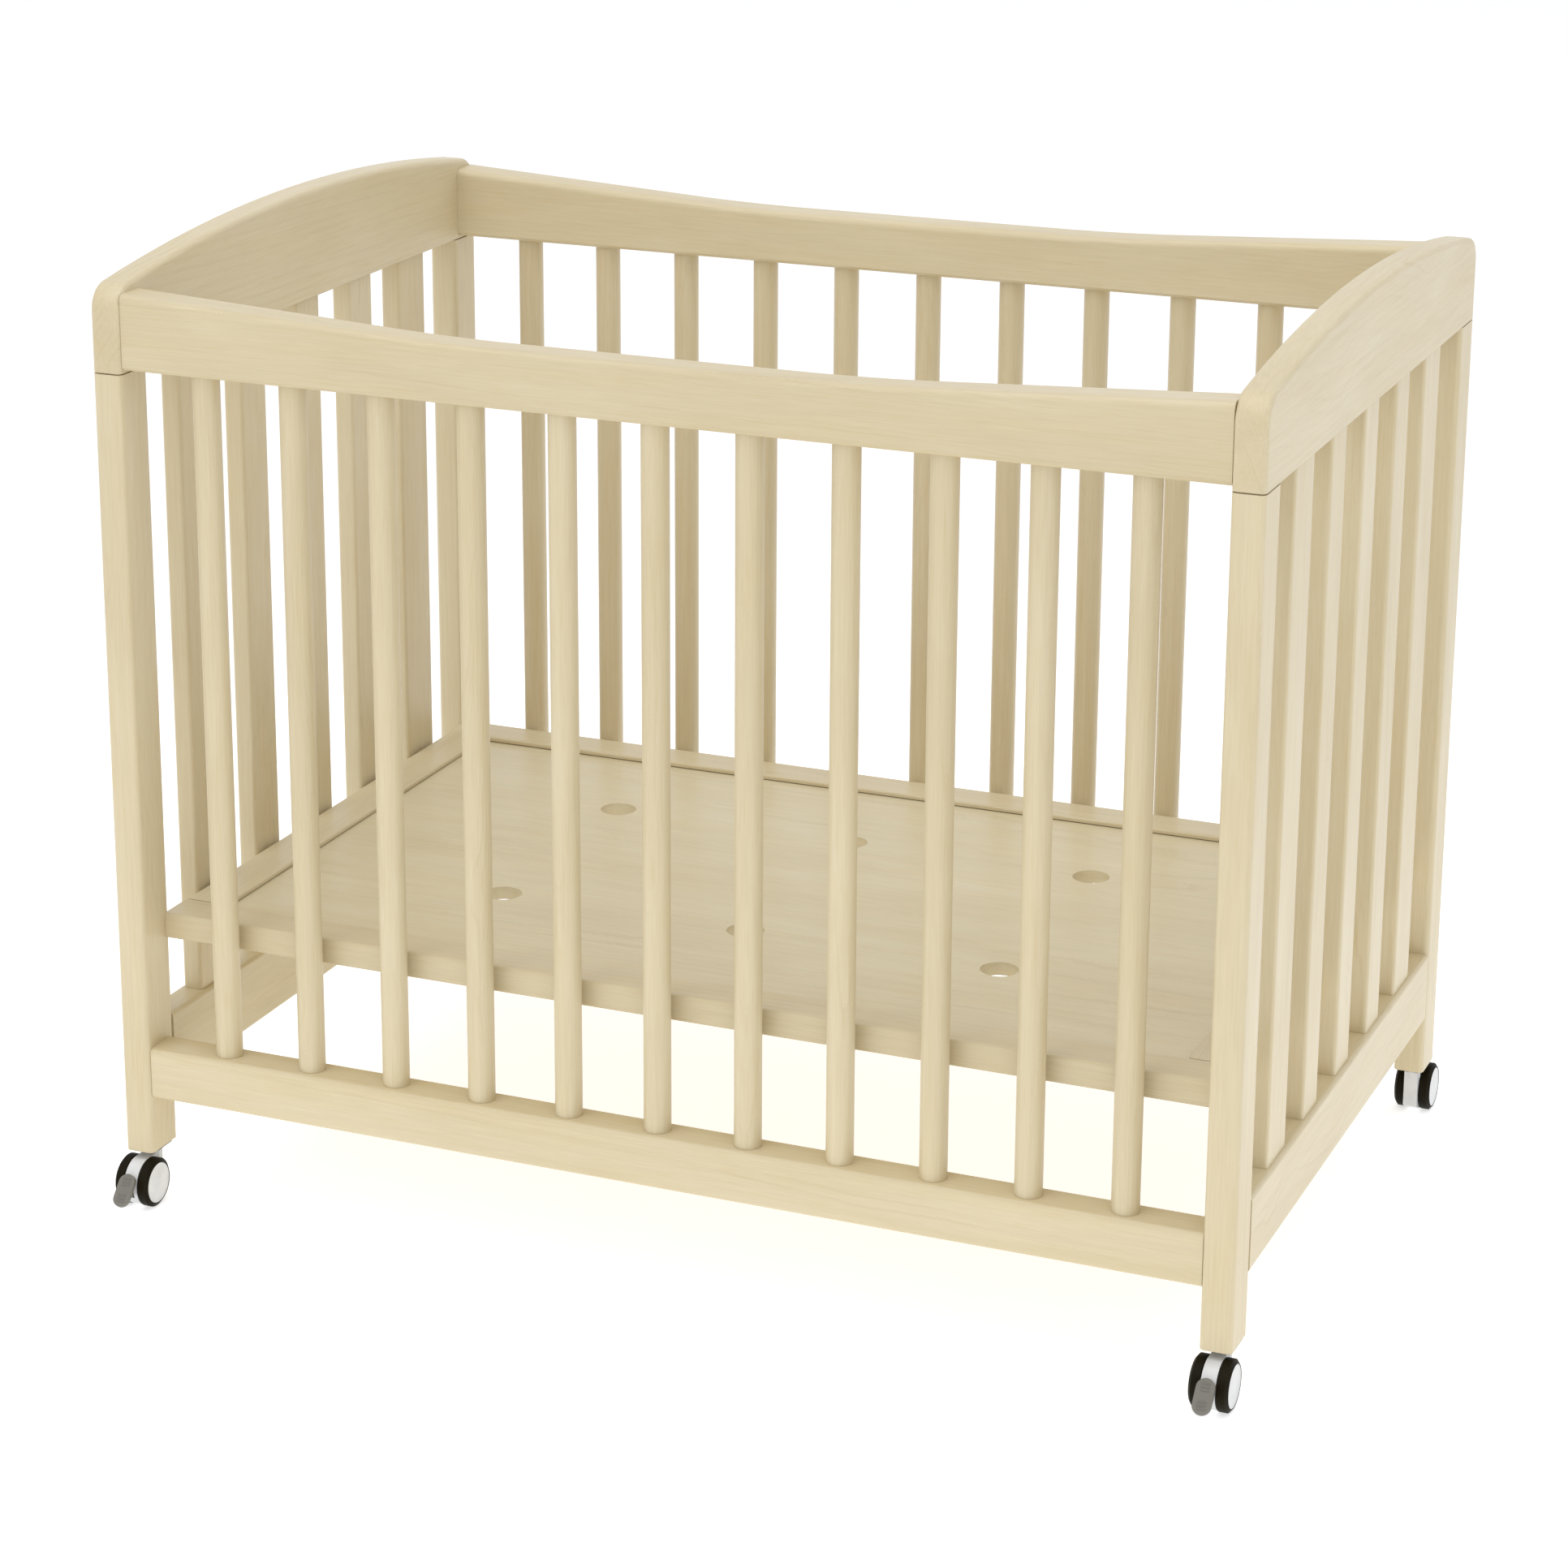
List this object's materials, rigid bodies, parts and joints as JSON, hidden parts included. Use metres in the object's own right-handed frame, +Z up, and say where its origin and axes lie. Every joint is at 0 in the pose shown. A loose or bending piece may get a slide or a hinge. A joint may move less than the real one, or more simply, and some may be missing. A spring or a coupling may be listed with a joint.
{
  "type": "playpen",
  "caption": "Pale wooden slatted playpen with arched end panels, dipped top rails, round side bars, a raised ventilated base and braked twin-wheel swivel casters.",
  "frame": {"origin": "on the floor under the middle of the frame", "axes": "+X along the length, towards the right end panel; +Y from the front side to the back side; +Z up"},
  "size_m": [1.046, 0.7636, 0.877],
  "materials": {
    "beech": "satin lacquered pale solid wood, grain along each member",
    "board": "satin lacquered plywood, grain along the length",
    "fixing_steel": "zinc plated",
    "stem_steel": "dark zinc plated",
    "caster_grey": "satin silver grey moulded plastic",
    "pedal_grey": "mid grey moulded plastic",
    "tyre": "near black soft tread"
  },
  "bodies": {
    "frame": {"post_front_left": "beech", "post_front_right": "beech", "post_back_left": "beech", "post_back_right": "beech", "arch_left": "beech", "arch_right": "beech", "end_rail_left": "beech", "end_rail_right": "beech", "slat_left_1": "beech", "slat_left_2": "beech", "slat_left_3": "beech", "slat_left_4": "beech", "slat_left_5": "beech", "slat_right_1": "beech", "slat_right_2": "beech", "slat_right_3": "beech", "slat_right_4": "beech", "slat_right_5": "beech", "top_rail_front": "beech", "top_rail_back": "beech", "bottom_rail_front": "beech", "bottom_rail_back": "beech", "bars_front": "beech", "bars_back": "beech", "base_rail_front": "beech", "base_rail_back": "beech", "base_rail_left": "beech", "base_rail_right": "beech", "base_panel": "board", "joint_pins": "beech", "cam_bolts": "fixing_steel", "cams": "fixing_steel", "base_pins": "fixing_steel", "caster_inserts": "fixing_steel", "caster_stem_front_left": "stem_steel", "caster_stem_front_right": "stem_steel", "caster_stem_back_left": "stem_steel", "caster_stem_back_right": "stem_steel"},
    "swivel_front_left": {"caster_housing_front_left": "caster_grey"},
    "wheels_front_left": {"caster_axle_front_left": "fixing_steel", "caster_hubs_front_left": "caster_grey", "caster_tyres_front_left": "tyre"},
    "pedal_front_left": {"caster_pedal_front_left": "pedal_grey"},
    "swivel_front_right": {"caster_housing_front_right": "caster_grey"},
    "wheels_front_right": {"caster_axle_front_right": "fixing_steel", "caster_hubs_front_right": "caster_grey", "caster_tyres_front_right": "tyre"},
    "pedal_front_right": {"caster_pedal_front_right": "pedal_grey"},
    "swivel_back_left": {"caster_housing_back_left": "caster_grey"},
    "wheels_back_left": {"caster_axle_back_left": "fixing_steel", "caster_hubs_back_left": "caster_grey", "caster_tyres_back_left": "tyre"},
    "pedal_back_left": {"caster_pedal_back_left": "pedal_grey"},
    "swivel_back_right": {"caster_housing_back_right": "caster_grey"},
    "wheels_back_right": {"caster_axle_back_right": "fixing_steel", "caster_hubs_back_right": "caster_grey", "caster_tyres_back_right": "tyre"},
    "pedal_back_right": {"caster_pedal_back_right": "pedal_grey"}
  },
  "joints": [
    {"name": "swivel_turn_front_left", "type": "hinge", "parent": "frame", "child": "swivel_front_left", "pos_m": [-0.506, -0.3195, 0.045], "axis": [0, 0, 1], "continuous": true},
    {"name": "wheels_roll_front_left", "type": "hinge", "parent": "swivel_front_left", "child": "wheels_front_left", "pos_m": [-0.506, -0.3385, 0.0225], "axis": [1, 0, 0], "continuous": true},
    {"name": "brake_press_front_left", "type": "hinge", "parent": "swivel_front_left", "child": "pedal_front_left", "pos_m": [-0.506, -0.3535, 0.019], "axis": [1, 0, 0], "range_deg": [0, 8]},
    {"name": "swivel_turn_front_right", "type": "hinge", "parent": "frame", "child": "swivel_front_right", "pos_m": [0.506, -0.3195, 0.045], "axis": [0, 0, 1], "continuous": true},
    {"name": "wheels_roll_front_right", "type": "hinge", "parent": "swivel_front_right", "child": "wheels_front_right", "pos_m": [0.506, -0.3385, 0.0225], "axis": [1, 0, 0], "continuous": true},
    {"name": "brake_press_front_right", "type": "hinge", "parent": "swivel_front_right", "child": "pedal_front_right", "pos_m": [0.506, -0.3535, 0.019], "axis": [1, 0, 0], "range_deg": [0, 8]},
    {"name": "swivel_turn_back_left", "type": "hinge", "parent": "frame", "child": "swivel_back_left", "pos_m": [-0.506, 0.3195, 0.045], "axis": [0, 0, 1], "continuous": true},
    {"name": "wheels_roll_back_left", "type": "hinge", "parent": "swivel_back_left", "child": "wheels_back_left", "pos_m": [-0.506, 0.3385, 0.0225], "axis": [1, 0, 0], "continuous": true},
    {"name": "brake_press_back_left", "type": "hinge", "parent": "swivel_back_left", "child": "pedal_back_left", "pos_m": [-0.506, 0.3535, 0.019], "axis": [-1, 0, 0], "range_deg": [0, 8]},
    {"name": "swivel_turn_back_right", "type": "hinge", "parent": "frame", "child": "swivel_back_right", "pos_m": [0.506, 0.3195, 0.045], "axis": [0, 0, 1], "continuous": true},
    {"name": "wheels_roll_back_right", "type": "hinge", "parent": "swivel_back_right", "child": "wheels_back_right", "pos_m": [0.506, 0.3385, 0.0225], "axis": [1, 0, 0], "continuous": true},
    {"name": "brake_press_back_right", "type": "hinge", "parent": "swivel_back_right", "child": "pedal_back_right", "pos_m": [0.506, 0.3535, 0.019], "axis": [-1, 0, 0], "range_deg": [0, 8]}
  ]
}
